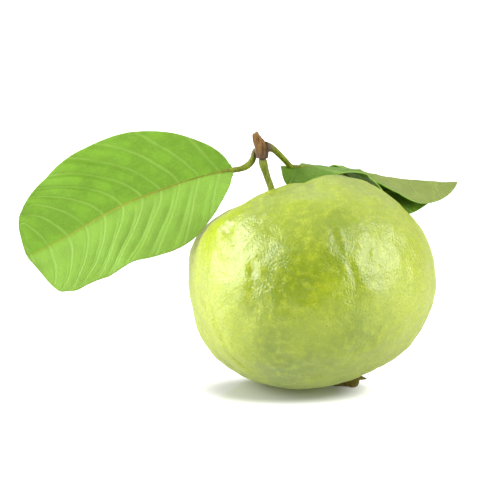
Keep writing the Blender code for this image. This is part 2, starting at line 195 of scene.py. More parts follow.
class Leaf(NamedTuple):
    """A leaf's measures in mm and degrees, and the columns and rows of its blade's grid.

    Lists beside rib hold one value for each rib point.
    """

    petiole: list
    petiole_radii: list
    rib: list
    tilts: list
    creases: list
    far_curls: list
    near_curls: list
    far_width: list
    near_width: list
    grid: tuple
    veins: int
    vein_lean: float
    relief: float
    base: Base
    waves: float
    wave_height: float
    fold: Fold


LEFT_LEAF = Leaf(
    petiole=[
        (-17.0, 8.6, 93.6), (-18.5, 9.9, 92.6), (-19.1, 9.9, 91.2), (-19.5, 9.4, 89.7), (-20.5, 8.2, 88.2),
        (-22.3, 7.2, 86.9), (-24.7, 6.2, 86.1),
    ],
    petiole_radii=[1.1, 1.3, 1.25, 1.25, 1.35, 1.3, 1.15],
    rib=[
        (-27.9, 5.5, 85.7), (-37.6, 5.0, 83.7), (-47.2, 4.0, 81.1), (-58.0, 2.0, 77.5), (-68.7, -0.6, 73.8),
        (-79.2, -3.6, 69.0), (-88.4, -6.5, 64.1), (-95.4, -8.9, 60.4), (-102.4, -11.2, 57.1),
        (-106.6, -12.7, 55.4), (-108.9, -13.6, 54.5),
    ],
    tilts=[45, 50, 51, 51, 51, 51, 51, 51, 51, 51, 51],
    creases=[14, 14, 12, 10, 9, 9, 8, 8, 7, 6, 6],
    far_curls=[6, 6, 4, 3, 3, 2, 2, 2, 2, 2, 2],
    near_curls=[14, 12, 8, 5, 3, 2, 2, 2, 2, 2, 2],
    far_width=[23.9, 25.7, 28.5, 29.6, 29.8, 29.8, 30.7, 33.4, 37.7, 43.2, 29.3],
    near_width=[28.5, 29.1, 29.4, 29.1, 27.4, 26.3, 29.2, 32.7, 44.0, 50.0, 18.5],
    grid=(110, 300),
    veins=11,
    vein_lean=0.30,
    relief=0.28,
    base=Base(share=0.004, back=0.6, rows=0.02),
    waves=3.5,
    wave_height=0.6,
    fold=None,
)

RIGHT_LEAF = Leaf(
    petiole=[
        (-14.6, 8.3, 94.6), (-12.6, 9.4, 94.2), (-10.9, 11.0, 93.0), (-8.6, 13.5, 90.4), (-6.0, 16.4, 87.2),
    ],
    petiole_radii=[2.4, 1.7, 1.3, 1.2, 1.15],
    rib=[
        (-3.8, 19.0, 84.5), (1.9, 19.8, 84.4), (8.0, 24.0, 84.0), (17.0, 34.0, 80.0),
        (33.0, 45.0, 68.9), (59.3, 56.6, 69.8), (66.7, 59.6, 71.3),
    ],
    tilts=[12, 5, -1, -6, 22, 50, 55],
    creases=[-18, -10, -2, 0, 2, 0, 0],
    far_curls=[2, 6, 2, 2, 0, 0, 0],
    near_curls=[50, 16, 6, 3, 0, 0, 0],
    far_width=[16, 15.5, 15, 13, 33, 24.5, 17],
    near_width=[34, 26, 20, 19, 16, 10, 6],
    grid=(130, 280),
    veins=9,
    vein_lean=0.13,
    relief=0.25,
    base=Base(share=0.035, back=7.4, rows=0.14),
    waves=2.5,
    wave_height=1.7,
    fold=Fold(
        start=(43.0, 3.0), end=(83.0, -4.8), run_out=7.0, run_out_length=20.0, radius=2.1, turn_deg=176,
    ),
)

# Camera, as in the photo
CAMERA_PLACE = Vector((-0.0207, -0.7800, 0.2342))
CAMERA_DOWN_DEG = 13.0
CAMERA_LENS = 143.28

# Where the surroundings are brightest: above and a little behind. They dim from a cosine of
# SKY_BRIGHT_FROM to that direction down to SKY_DARK_FROM.
BRIGHT_SKY = Vector((0, 0.35, 1)).normalized()
SKY_BRIGHT_FROM = 0.95
SKY_DARK_FROM = -0.3

# The two large lights, and the point that they look at.
LIGHT_TARGET = Vector((0.0, 0.0, 0.05))
LEFT_LIGHT_PLACE = Vector((-0.58, -0.07, 0.30))
LEFT_LIGHT_SIZE = (0.78, 0.56)
RIGHT_LIGHT_PLACE = Vector((0.56, -0.24, 0.31))
RIGHT_LIGHT_SIZE = (0.58, 0.58)

# The floor's soft patch: how its place is shifted and stretched, from where it is dark to where it ends.
PATCH_SHIFT = (0.21, 0.63, 0)
PATCH_STRETCH = (24.0, 42.0, 1)
PATCH_DARK_WITHIN = 0.5
PATCH_END = 1.15

# Colours beside those in the settings
CALYX_OLIVE = (0.13, 0.13, 0.015)
CALYX_TAN = (0.42, 0.28, 0.10)
CORK = (0.34, 0.24, 0.09)
JOINT_BROWN = (0.11, 0.065, 0.045)
BARK_ORANGE = (0.27, 0.14, 0.04)
BARK_PALE = (0.31, 0.23, 0.13)
BARK_DARK = (0.05, 0.022, 0.010)
BARK_PURPLE = (0.12, 0.075, 0.065)
UNDER_VEIN = (0.36, 0.42, 0.13)


# Settings

def colour_setting(name, default, description):
    """A colour that shows in the panel."""
    return FloatVectorProperty(
        name=name, description=description, default=default, subtype="COLOR", size=3, min=0, max=1
    )


def length_setting(name, default, description):
    """A length that shows in the panel."""
    return FloatProperty(
        name=name, description=description, default=default, min=0, subtype="DISTANCE", unit="LENGTH"
    )


def share_setting(name, default, description):
    """A number from 0 to 1 that shows in the panel."""
    return FloatProperty(name=name, description=description, default=default, min=0, max=1, subtype="FACTOR")


def power_setting(name, default, description):
    """The power of a light that shows in the panel."""
    return FloatProperty(name=name, description=description, default=default, min=0, subtype="POWER")


def strength_setting(name, default, description):
    """The strength of a glow that shows in the panel."""
    return FloatProperty(name=name, description=description, default=default, min=0, max=5)


class FruitSettings(bpy.types.PropertyGroup):
    """Sizes and colours of the fruit and its calyx."""

    skin: colour_setting("Skin", (0.31, 0.40, 0.005), "Main colour of the skin")
    deep: colour_setting("Deep patches", (0.20, 0.28, 0.002), "Greener patches and pores of the skin")
    # Pale also lightens the fruit's left and right sides, mostly painted light of the side lamps.
    pale: colour_setting("Pale patches", (0.50, 0.56, 0.025), "Paler, yellower patches of the skin")
    gloss: share_setting("Skin roughness", 0.30, "Roughness of the waxy skin")
    calyx: colour_setting("Calyx", (0.14, 0.10, 0.02), "Dried sepals")
    sepals: length_setting("Sepal length", 1.3 * MM, "How far the sepals stand out past the calyx's rim")


class LeafSettings(bpy.types.PropertyGroup):
    """Sizes and colours of the leaves."""

    fresh: colour_setting("Open leaf", (0.175, 0.36, 0.020), "Upper side of the open leaf")
    # The folded leaf's upper side is the open leaf's green darkened: painted shade of that curled leaf.
    dark: colour_setting("Folded leaf", (0.12, 0.25, 0.012), "Upper side of the folded leaf")
    under: colour_setting("Underside", (0.25, 0.32, 0.075), "Paler underside of the leaves")
    vein: colour_setting("Veins", (0.31, 0.50, 0.085), "Side veins on the upper side")
    rib: colour_setting("Midrib", (0.27, 0.30, 0.03), "Midrib and the end of the petiole")
    thickness: length_setting("Blade thickness", 0.5 * MM, "Thickness of the blades")


class WoodSettings(bpy.types.PropertyGroup):
    """Sizes and colours of the stalk and the twig."""

    stalk: colour_setting("Stalk", (0.23, 0.28, 0.018), "Green stalk and petioles")
    bark: colour_setting("Bark", (0.13, 0.08, 0.035), "Brown bark of the twig")
    splinters: length_setting("Splinters", 0.55 * MM, "Height of the splinters of the torn end")


class StageSettings(bpy.types.PropertyGroup):
    """Light of the stage."""

    left_power: power_setting("Left light", 7.6, "Power of the large light on the left")
    right_power: power_setting("Right light", 4.6, "Power of the large light on the right")
    front: strength_setting("Front", 0.10, "Strength of the surroundings behind the camera")
    top: strength_setting("Top", 1.0, "Strength of the white surroundings above the fruit")
    floor: strength_setting("Floor", 0.24, "Strength of the light that the floor sends up")


# Making and finishing pieces

def deselect_all():
    if bpy.context.object and bpy.context.object.mode != "OBJECT":
        bpy.ops.object.mode_set(mode="OBJECT")
    bpy.ops.object.select_all(action="DESELECT")


def pick(*pieces):
    """Selects pieces, the first of them active."""
    deselect_all()
    for piece in pieces:
        piece.select_set(True)
    bpy.context.view_layer.objects.active = pieces[0]


def named_primitive(name):
    """Names the primitive that was just added and puts its place into its mesh."""
    piece = bpy.context.object
    piece.name = name
    piece.data.name = name
    bpy.ops.object.transform_apply(location=True, rotation=True, scale=True)
    return piece


def apply_modifier(piece, kind, **settings):
    """Adds a modifier with its settings and applies it."""
    pick(piece)
    modifier = piece.modifiers.new(kind.title(), kind)
    for key, value in settings.items():
        setattr(modifier, key, value)
    bpy.ops.object.modifier_apply(modifier=modifier.name)


def merge_doubles(piece):
    """Merges points that lie on each other, as at a pole or a seam."""
    pick(piece)
    bpy.ops.object.mode_set(mode="EDIT")
    bpy.ops.mesh.select_all(action="SELECT")
    bpy.ops.mesh.remove_doubles(threshold=0.000001)
    bpy.ops.object.mode_set(mode="OBJECT")


def tidy_mesh(piece):
    """Merges doubles, closes holes and turns the faces outwards."""
    merge_doubles(piece)
    bpy.ops.object.mode_set(mode="EDIT")
    bpy.ops.mesh.fill_holes(sides=0)
    bpy.ops.mesh.normals_make_consistent(inside=False)
    bpy.ops.object.mode_set(mode="OBJECT")


def ruffle(piece, height_at):
    """Moves each vertex along its normal by height_at(place)."""
    normals = [vertex.normal.copy() for vertex in piece.data.vertices]
    for vertex, normal in zip(piece.data.vertices, normals):
        vertex.co += normal * height_at(vertex.co)
    piece.data.update()


def hand_over(piece, node, slot, *finishes):
    """Gives a finished piece its materials and lets it stand for its solid."""
    piece.data.materials.clear()
    for finish in finishes:
        piece.data.materials.append(finish)
    pick(piece)
    bpy.ops.object.shade_smooth()
    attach(piece, BODY)
    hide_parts(node)


def curved_grid(name, columns, rows, place):
    """A grid whose points are laid by place(across, along), across from -1 to 1, along from 0 to 1."""
    deselect_all()
    bpy.ops.mesh.primitive_grid_add(x_subdivisions=columns, y_subdivisions=rows, size=2)
    piece = named_primitive(name)
    spots = [(vertex.co.x, (vertex.co.y + 1) / 2) for vertex in piece.data.vertices]
    for vertex, (across, along) in zip(piece.data.vertices, spots):
        vertex.co = place(across, along)
    layer = piece.data.uv_layers.active
    for loop in piece.data.loops:
        across, along = spots[loop.vertex_index]
        layer.data[loop.index].uv = (across / 2 + 0.5, along)
    return piece


# Curves and noise

def spline(stations, values, at):
    """Smooth curve through values, numbers or vectors, at their stations; straight beyond them."""
    last = len(stations) - 1
    span = 0
    while span < last - 1 and at > stations[span + 1]:
        span += 1

    def slope(index):
        before = max(0, index - 1)
        after = min(last, index + 1)
        return (values[after] - values[before]) / (stations[after] - stations[before])

    if at <= stations[0]:
        return values[0] + slope(0) * (at - stations[0])
    if at >= stations[last]:
        return values[last] + slope(last) * (at - stations[last])
    width = stations[span + 1] - stations[span]
    part = (at - stations[span]) / width
    rest = 1 - part
    return (
        values[span] * (rest * rest * (1 + 2 * part))
        + slope(span) * (width * part * rest * rest)
        + values[span + 1] * (part * part * (3 - 2 * part))
        - slope(span + 1) * (width * part * part * rest)
    )


def distances(points):
    """Distance along a row of points to each of them, from the first."""
    reached = [0.0]
    for near, far in zip(points, points[1:]):
        reached.append(reached[-1] + (far - near).length)
    return reached


def within(value, lowest, highest):
    return max(lowest, min(highest, value))


def square_to(direction, reference):
    """Unit vector square to a direction that is nearest to the reference."""
    return (reference - direction * reference.dot(direction)).normalized()


def ripple(place, size, octaves=2):
    """Smooth noise from about -1 to 1 whose lumps have a size in metres."""
    return noise.fractal(place / size, 1.0, 2.0, octaves)


# Materials

class Finish:
    """A material that is put together from nodes."""

    def __init__(self, name):
        self.material = bpy.data.materials.new(name)
        self.material.use_nodes = True
        self.tree = self.material.node_tree
        self.shader = self.tree.nodes["Principled BSDF"]

    def feed(self, socket, value):
        """Links a socket to another, or sets its own value."""
        if isinstance(value, bpy.types.NodeSocket):
            self.tree.links.new(value, socket)
        elif hasattr(value, "__len__") and socket.type == "RGBA" and len(value) == 3:
            socket.default_value = (*value, 1)
        else:
            socket.default_value = value

    def node(self, kind, inputs, output=0, **settings):
        """Adds a node and returns one of its outputs."""
        made = self.tree.nodes.new("ShaderNode" + kind)
        for key, value in settings.items():
            setattr(made, key, value)
        for key, value in inputs.items():
            self.feed(made.inputs[key], value)
        return made.outputs[output]

    def object_place(self, stretch=(1, 1, 1), turn=(0, 0, 0)):
        """Object coordinates, stretched and turned."""
        place = self.node("TexCoord", {}, "Object")
        return self.node("Mapping", {"Vector": place, "Scale": stretch, "Rotation": turn})

    def blade_place(self, stretch=(1, 1, 1)):
        """The blade's own coordinates: across it, and along its rib."""
        place = self.node("TexCoord", {}, "UV")
        return self.node("Mapping", {"Vector": place, "Scale": stretch})

    def clouds(self, place, scale, detail=3.0, roughness=0.55):
        """Cloudy noise from 0 to 1."""
        return self.node(
            "TexNoise", {"Vector": place, "Scale": scale, "Detail": detail, "Roughness": roughness}, "Fac"
        )

    def cells(self, place, scale, feature="F1"):
        """Distance to the middle of the nearest cell, or to its edge."""
        return self.node("TexVoronoi", {"Vector": place, "Scale": scale}, "Distance", feature=feature)

    def sum(self, operation, *values):
        """The result of a math node."""
        return self.node("Math", dict(enumerate(values)), operation=operation)

    def ramp(self, value, start, end, low=0.0, high=1.0):
        """Brings a value smoothly from low at start to high at end."""
        return self.node(
            "MapRange",
            {"Value": value, "From Min": start, "From Max": end, "To Min": low, "To Max": high},
            interpolation_type="SMOOTHSTEP",
        )

    def mix(self, share, first, second):
        """A colour between two others."""
        return self.node("Mix", {0: share, 6: first, 7: second}, 2, data_type="RGBA")

    def bump(self, height, depth, normal=None):
        """A bumped normal: depth is how far a height of 1 stands out, in metres."""
        inputs = {"Height": height, "Distance": depth, "Strength": 1.0}
        if normal:
            inputs["Normal"] = normal
        return self.node("Bump", inputs)

    def set(self, **inputs):
        """Sets or links sockets of the shader, named with _ for a space."""
        for key, value in inputs.items():
            self.feed(self.shader.inputs[key.replace("_", " ")], value)
        return self.material


def skin_finish(settings):
    """Waxy skin: paler, yellower left and right sides, mostly painted light of the side lamps and partly the
    skin's own yellower tone; soft patches, fine grain, darker pores, and less wax at its rim.
    """
    finish = Finish("guava skin")
    place = finish.object_place()
    patches = finish.clouds(place, 42, 3.0)
    speckle = finish.clouds(place, 330, 4.0, 0.7)
    grain = finish.clouds(place, 1400, 2.0, 0.6)
    pores = finish.cells(place, 620)
    middle_offset = finish.sum("SUBTRACT", finish.node("SeparateXYZ", {0: place}, 0), FRUIT_CENTRE.x)
    # Paler towards the left and right sides: mostly painted light of the two side lamps, partly a yellower
    # tone of the skin.
    side_lamp_paling = finish.ramp(finish.sum("ABSOLUTE", middle_offset), 0.012, 0.046, 0, 0.5)
    colour = finish.mix(finish.ramp(patches, 0.34, 0.64), tuple(settings.deep), tuple(settings.skin))
    colour = finish.mix(side_lamp_paling, colour, tuple(settings.pale))
    colour = finish.mix(finish.ramp(speckle, 0.44, 0.70, 0, 0.5), colour, tuple(settings.pale))
    colour = finish.mix(finish.ramp(grain, 0.46, 0.66, 0, 0.5), colour, tuple(settings.deep))
    colour = finish.mix(finish.ramp(pores, 0.30, 0.08, 0, 0.40), colour, tuple(settings.deep))
    normal = finish.bump(finish.clouds(place, 240, 2.0, 0.5), 0.00022)
    normal = finish.bump(finish.clouds(place, 1000, 2.0, 0.6), 0.00028, normal)
    normal = finish.bump(finish.ramp(pores, 0.05, 0.32), 0.00008, normal)
    waxed = finish.ramp(finish.node("LayerWeight", {"Blend": 0.5}, "Facing"), 0.45, 0.95, 1, 0.1)
    return finish.set(
        Base_Color=colour,
        Roughness=finish.ramp(speckle, 0.3, 0.75, settings.gloss, settings.gloss + 0.12),
        Specular_IOR_Level=0.15,
        Normal=normal,
        Subsurface_Weight=0.2,
        Subsurface_Radius=(0.006, 0.008, 0.002),
        Subsurface_Scale=1.0,
        Coat_Weight=waxed,
        Coat_IOR=1.6,
        Coat_Roughness=0.17,
        Coat_Normal=normal,
    )


def calyx_finish(settings):
    """Dried sepals: dark brown with olive and tan flecks."""
    finish = Finish("dried calyx")
    place = finish.object_place()
    flecks = finish.clouds(place, 620, 4.0, 0.65)
    patches = finish.clouds(place, 210, 2.0)
    colour = finish.mix(finish.ramp(patches, 0.4, 0.62), tuple(settings.calyx), CALYX_OLIVE)
    colour = finish.mix(finish.ramp(flecks, 0.55, 0.8, 0, 0.8), colour, CALYX_TAN)
    return finish.set(
        Base_Color=colour, Roughness=0.75, Specular_IOR_Level=0.2, Normal=finish.bump(flecks, 0.0006)
    )


def stalk_finish(name, colour, tan_share):
    """Green stalk with fine streaks and tan corky specks, brown where it grows from the twig."""
    finish = Finish(name)
    streaks = finish.clouds(finish.object_place((1, 1, 0.12)), 1100, 3.0, 0.6)
    specks = finish.clouds(finish.object_place(), 420, 3.0, 0.7)
    green = finish.mix(finish.ramp(streaks, 0.35, 0.7), tuple(0.55 * part for part in colour), tuple(colour))
    green = finish.mix(finish.ramp(specks, 0.6, 0.78, 0, tan_share), green, CORK)
    from_twig = finish.node(
        "VectorMath", {0: finish.object_place(), 1: TWIG_JOINT}, "Value", operation="DISTANCE"
    )
    green = finish.mix(finish.ramp(from_twig, 0.0056, 0.0036, 0, 0.85), green, JOINT_BROWN)
    return finish.set(
        Base_Color=green,
        Roughness=0.5,
        Specular_IOR_Level=0.25,
        Normal=finish.bump(streaks, 0.0005),
        Subsurface_Weight=0.1,
        Subsurface_Radius=(0.001, 0.0015, 0.0005),
    )


def bark_finish(settings):
    """Brown bark with tan and grey streaks, more purple at its foot."""
    finish = Finish("twig bark")
    streaks = finish.clouds(finish.object_place((1, 1, 0.16)), 900, 4.0, 0.65)
    bands = finish.clouds(finish.object_place((1, 1, 0.25)), 330, 2.0)
    height = finish.node("SeparateXYZ", {0: finish.object_place()}, 2)
    foot = finish.ramp(height, 0.0945, 0.0915, 0, 0.6)
    colour = finish.mix(finish.ramp(bands, 0.38, 0.66), tuple(settings.bark), BARK_ORANGE)
    colour = finish.mix(finish.ramp(streaks, 0.5, 0.72), colour, BARK_PALE)
    colour = finish.mix(finish.ramp(streaks, 0.5, 0.3, 0, 0.8), colour, BARK_DARK)
    colour = finish.mix(foot, colour, BARK_PURPLE)
    return finish.set(
        Base_Color=colour, Roughness=0.85, Specular_IOR_Level=0.2, Normal=finish.bump(streaks, 0.0012)
    )


def blade_finish(name, settings, green, leaf, near_half_painted_light):
    """Upper side of a blade: midrib, side veins with painted shade beside them, and a fine net of veins,
    from its own map.

    near_half_painted_light is how much paler the near half is painted: painted light where that half faces
    the lamps more.
    """
    finish = Finish(name)
    place = finish.blade_place()
    wander = finish.clouds(finish.blade_place((3, 7, 1)), 1.0, 2.0)
    across = finish.node("SeparateXYZ", {0: place}, 0)
    along = finish.node("SeparateXYZ", {0: place}, 1)
    from_rib = finish.sum("ABSOLUTE", finish.sum("SUBTRACT", across, 0.5))
    vein_count = finish.sum("MULTIPLY", along, leaf.veins)
    vein_count = finish.sum("ADD", vein_count, finish.sum("MULTIPLY", wander, 0.35))
    from_vein = finish.sum("PINGPONG", vein_count, 0.5)
    veins = finish.ramp(from_vein, 0.12, 0.0)
    vein_groove_shade = finish.ramp(from_vein, 0.34, 0.05, 0, 0.5)
    net = finish.ramp(finish.cells(finish.blade_place((34, 52, 1)), 1.0, "DISTANCE_TO_EDGE"), 0.09, 0.02)
    mottle = finish.clouds(finish.object_place(), 130, 3.0)
    dark = tuple(0.80 * part for part in green)
    colour = finish.mix(finish.ramp(mottle, 0.35, 0.65), dark, tuple(green))
    colour = finish.mix(finish.sum("MULTIPLY", net, 0.14), colour, tuple(settings.vein))
    # Darker beside the side veins: painted shade in their hollow grooves.
    colour = finish.mix(vein_groove_shade, colour, dark)
    faint = finish.ramp(wander, 0.3, 0.7, 0.2, 0.5)
    colour = finish.mix(finish.sum("MULTIPLY", veins, faint), colour, tuple(settings.vein))
    # Paler near half: painted light for the half that is tilted towards the lamps.
    colour = finish.mix(finish.ramp(across, 0.51, 0.45, 0, near_half_painted_light), colour, tuple(settings.vein))
    rib = finish.ramp(from_rib, finish.ramp(along, 0, 1, 0.016, 0.008), 0.004)
    colour = finish.mix(rib, colour, tuple(settings.rib))
    rim = finish.ramp(from_rib, 0.494, 0.5, 0, 0.7)
    colour = finish.mix(rim, colour, tuple(settings.vein))
    normal = finish.bump(finish.sum("MULTIPLY", net, -1), 0.00006)
    normal = finish.bump(finish.sum("MULTIPLY", veins, -1), 0.00015, normal)
    return finish.set(
        Base_Color=colour,
        Roughness=0.5,
        Specular_IOR_Level=0.25,
        Normal=normal,
        Subsurface_Weight=0.15,
        Subsurface_Radius=(0.0008, 0.0015, 0.0003),
    )


def underside_finish(name, settings, leaf, base_shade_green):
    """Paler underside of a blade with raised veins.

    base_shade_green is how much of the folded leaf's darkened green its base is painted with: painted shade
    of the fold's crest.
    """
    finish = Finish(name)
    place = finish.blade_place()
    along = finish.node("SeparateXYZ", {0: place}, 1)
    from_vein = finish.sum("PINGPONG", finish.sum("MULTIPLY", along, leaf.veins), 0.5)
    veins = finish.ramp(from_vein, 0.07, 0.02)
    net = finish.ramp(finish.cells(finish.blade_place((34, 52, 1)), 1.0, "DISTANCE_TO_EDGE"), 0.10, 0.02)
    mottle = finish.clouds(finish.object_place(), 160, 3.0)
    under = tuple(settings.under)
    colour = finish.mix(finish.ramp(mottle, 0.35, 0.65), tuple(0.86 * part for part in under), under)
    colour = finish.mix(finish.sum("MULTIPLY", veins, 0.25), colour, UNDER_VEIN)
    # Towards the base the underside takes the folded leaf's darkened green: painted shade of the fold's
    # crest.
    colour = finish.mix(finish.ramp(along, 0.62, 0.50, 0, base_shade_green), colour, tuple(settings.dark))
    normal = finish.bump(net, 0.00008)
    normal = finish.bump(veins, 0.00025, normal)
    return finish.set(Base_Color=colour, Roughness=0.62, Normal=normal, Specular_IOR_Level=0.2)


# Fruit and calyx

def mark_height(mark, outward):
    """How far a mark lifts the skin where the fruit faces outward."""
    around = math.radians(mark.around_deg)
    up = math.radians(mark.up_deg)
    level = math.cos(up)
    middle = Vector((math.cos(around) * level, math.sin(around) * level, math.sin(up)))
    offset = (outward - middle) * (FRUIT_CENTRE.z / MM)
    if offset.length > MARK_REACH * mark.length:
        return 0.0
    lengthwise = square_to(middle, UP)
    sideways = middle.cross(lengthwise)
    turn = math.radians(mark.turn_deg)
    along = offset.dot(lengthwise) * math.cos(turn) + offset.dot(sideways) * math.sin(turn)
    aside = offset.dot(sideways) * math.cos(turn) - offset.dot(lengthwise) * math.sin(turn)
    return mark.height * MM * math.exp(-(along / mark.length) ** 2 - (aside / mark.width) ** 2)


def make_fruit(settings):
    """The fruit: a cube rounded to a ball, fitted to its solid, subdivided and made lumpy."""
    deselect_all()
    bpy.ops.mesh.primitive_cube_add(size=START_CUBE, location=FRUIT_CENTRE)
    fruit = bpy.context.object
    fruit.name = "guava_fruit"
    bpy.ops.object.mode_set(mode="EDIT")
    bpy.ops.mesh.subdivide(number_cuts=FRUIT_CUTS)
    bpy.ops.object.mode_set(mode="OBJECT")
    apply_modifier(fruit, "CAST", cast_type="SPHERE", factor=1.0)
    apply_modifier(
        fruit,
        "SHRINKWRAP",
        target=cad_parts["fruit"],
        wrap_method="PROJECT",
        use_negative_direction=True,
        use_positive_direction=True,
    )
    bpy.ops.object.transform_apply(location=True, rotation=True, scale=True)
    apply_modifier(fruit, "SUBSURF", levels=FRUIT_SUBDIVISIONS, render_levels=FRUIT_SUBDIVISIONS)
    for number, (size, height) in enumerate(SKIN_LUMPS):
        lumps = bpy.data.textures.new(f"skin lumps {number}", "CLOUDS")
        lumps.noise_scale = size
        lumps.noise_depth = 1
        apply_modifier(
            fruit, "DISPLACE", texture=lumps, texture_coords="LOCAL", strength=height, mid_level=0.5
        )
    for vertex in fruit.data.vertices:
        outward = (vertex.co - FRUIT_CENTRE).normalized()
        vertex.co += outward * sum(mark_height(mark, outward) for mark in SKIN_MARKS)
        vertex.co.z = max(0.0, vertex.co.z)
    hand_over(fruit, "fruit", "guava_skin", skin_finish(settings))


def surface_of(mesh):
    """The surface of a mesh, for rays and nearest points."""
    return BVHTree.FromPolygons(
        [vertex.co for vertex in mesh.vertices], [face.vertices for face in mesh.polygons]
    )


def on_skin(surface, point, height):
    """The place at a height over the fruit, straight out from its centre past a point."""
    direction = (point - FRUIT_CENTRE).normalized()
    outside = FRUIT_CENTRE + direction * OUTSIDE
    return surface.ray_cast(outside, -direction)[0] + direction * height


def calyx_profile(surface, pole, first, second, angle, lobe_height):
    """Points of the calyx at an angle round it, from the skin over a lobe to its floor."""
    lobe = (0.5 + 0.5 * math.cos(CALYX_LOBES * angle)) ** LOBE_BLUNTNESS
    aside = first * math.cos(angle) + second * math.sin(angle)
    rim_height = CALYX_RIM_HEIGHT + lobe_height * lobe
    rim = pole + aside * (CALYX_RIM_RADIUS + LOBE_FLARE * lobe)
    rim_height = min(rim_height, (CALYX_LOWEST - rim.z) / CALYX_AXIS.z)
    foot = on_skin(surface, pole + aside * CALYX_FOOT_RADIUS, GAP)
    return [
        on_skin(surface, pole + aside * CALYX_FLOOR_RADIUS * 0.1, GAP),
        foot,
        foot + CALYX_AXIS * (0.4 * rim_height) + aside * 0.3 * MM,
        rim + CALYX_AXIS * rim_height,
        rim - aside * CALYX_WALL + CALYX_AXIS * rim_height,
        pole + aside * CALYX_FOOT_RADIUS * 0.8 + CALYX_AXIS * CALYX_FLOOR_HEIGHT,
        pole + aside * CALYX_FLOOR_RADIUS * 0.3 + CALYX_AXIS * CALYX_FLOOR_HEIGHT,
    ]


def make_calyx(settings):
    """The crown of dried sepals, crinkled."""
    surface = surface_of(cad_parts["fruit"].data)
    pole = on_skin(surface, FRUIT_CENTRE + CALYX_AXIS, GAP)
    first = square_to(CALYX_AXIS, Vector((1, 0, 0)))
    second = CALYX_AXIS.cross(first)

    def place(across, along):
        angle = math.pi * across
        profile = calyx_profile(surface, pole, first, second, angle, settings.sepals)
        spot = along * (len(profile) - 1)
        step = min(int(spot), len(profile) - 2)
        point = profile[step].lerp(profile[step + 1], spot - step)
        free = math.sin(math.pi * within((along - 0.2) / 0.7, 0, 1))
        crinkle = ripple(point, CALYX_CRINKLE_SIZE) * CALYX_CRINKLE * free
        point += (point - pole).normalized() * crinkle
        point.z = max(point.z, GAP)
        return point

    calyx = curved_grid("dry_calyx", 150, 48, place)
    tidy_mesh(calyx)
    hand_over(calyx, "calyx", "dried_calyx", calyx_finish(settings))


# Stalk and twig

def extruded_rod(name, points, radii, sides):
    """A rod drawn out ring by ring from a filled circle; points and radii in mm."""
    deselect_all()
    places = [Vector(point) * MM for point in points]
    bpy.ops.mesh.primitive_circle_add(
        vertices=sides, radius=radii[0] * MM, fill_type="NGON", location=places[0]
    )
    rod = named_primitive(name)
    bpy.ops.object.mode_set(mode="EDIT")
    bpy.ops.mesh.select_all(action="SELECT")
    for number in range(1, len(places)):
        step = places[number] - places[number - 1]
        growth = radii[number] / radii[number - 1]
        bpy.ops.mesh.extrude_region_move(TRANSFORM_OT_translate={"value": step})
        bpy.ops.transform.resize(value=(growth, growth, growth), center_override=places[number])
    bpy.ops.mesh.select_all(action="SELECT")
    bpy.ops.mesh.normals_make_consistent(inside=False)
    bpy.ops.object.mode_set(mode="OBJECT")
    return rod


def make_stalk(settings):
    """The fruit's stalk, a little ribbed."""
    stalk = extruded_rod("green_stalk", STALK_POINTS, STALK_RADII, 20)
    apply_modifier(stalk, "SUBSURF", levels=2, render_levels=2)
    ruffle(stalk, lambda place: 0.12 * MM * ripple(Vector((place.x, place.y, place.z * 0.2)), 0.0014))
    hand_over(stalk, "fruit_stalk", "green_stalk", stalk_finish("green stalk", settings.stalk, 0.6))


def make_twig(settings):
    """The woody stub, torn off to a splintered ridge."""
    twig = extruded_rod("torn_twig", TWIG_POINTS, TWIG_RADII, 24)
    pick(twig)
    bpy.ops.object.mode_set(mode="EDIT")
    bpy.ops.mesh.select_all(action="DESELECT")
    bpy.ops.object.mode_set(mode="OBJECT")
    top = max(twig.data.polygons, key=lambda face: face.center.z)
    top.select = True
    bpy.ops.object.mode_set(mode="EDIT")
    for thickness in TORN_RINGS:
        bpy.ops.mesh.inset(thickness=thickness * MM, depth=0)
    bpy.ops.mesh.poke()
    bpy.ops.object.mode_set(mode="OBJECT")
    rim_height = TWIG_POINTS[-1][2] * MM
    for vertex in twig.data.vertices:
        if vertex.co.z < rim_height - 0.1 * MM:
            continue
        aside = vertex.co.x - TWIG_PEAK.x
        slant = TORN_SLANTS[0] if aside < 0 else TORN_SLANTS[1]
        grain = Vector((vertex.co.x, vertex.co.y * 0.5, 0.0))
        splinter = settings.splinters * ripple(grain, SPLINTER_SIZE)
        depth = abs(vertex.co.y - TWIG_PEAK.y)
        vertex.co.z = TWIG_PEAK.z - abs(aside) * slant - depth * TORN_DEPTH_SLANT + splinter
    apply_modifier(twig, "SUBSURF", levels=2, render_levels=2)
    ruffle(twig, lambda place: 0.28 * MM * ripple(Vector((place.x, place.y, place.z * 0.18)), 0.0011, 3))
    hand_over(twig, "twig", "twig_bark", bark_finish(settings))


# Leaves

def fold_over(fold, along, across, height):
    """Bends what lies past a fold's line over it. Returns along, across and height."""
    start = Vector(fold.start)
    line = (Vector(fold.end) - start).normalized()
    past_way = Vector((-line.y, line.x))
    offset = Vector((along, across)) - start
    crease = fold.run_out * math.exp(-offset.dot(line) / fold.run_out_length)
    past = offset.dot(past_way) - crease
    if past <= 0:
        return along, across, height
    full_turn = math.radians(fold.turn_deg)
    turn = min(past / fold.radius, full_turn)
    straight = max(0.0, past - fold.radius * full_turn)
    reach = fold.radius * math.sin(turn) + straight * math.cos(turn) - height * math.sin(turn)
    lift = fold.radius * (1 - math.cos(turn)) + straight * math.sin(turn) + height * math.cos(turn)
    place = start + line * offset.dot(line) + past_way * (crease + reach)
    return place.x, place.y, lift


def leaf_frame(leaf, stations, points, at):
    """Point of the rib, direction to the far side, and blade normal."""
    ahead = spline(stations, points, at + RIB_STEP) - spline(stations, points, at - RIB_STEP)
    onward = ahead.normalized()
    tilt = math.radians(spline(stations, leaf.tilts, within(at, 0, stations[-1])))
    normal = square_to(onward, Vector((0, -math.sin(tilt), math.cos(tilt))))
    side = onward.cross(normal)
    if side.y < 0:
        side = -side
    return spline(stations, points, at), side, normal


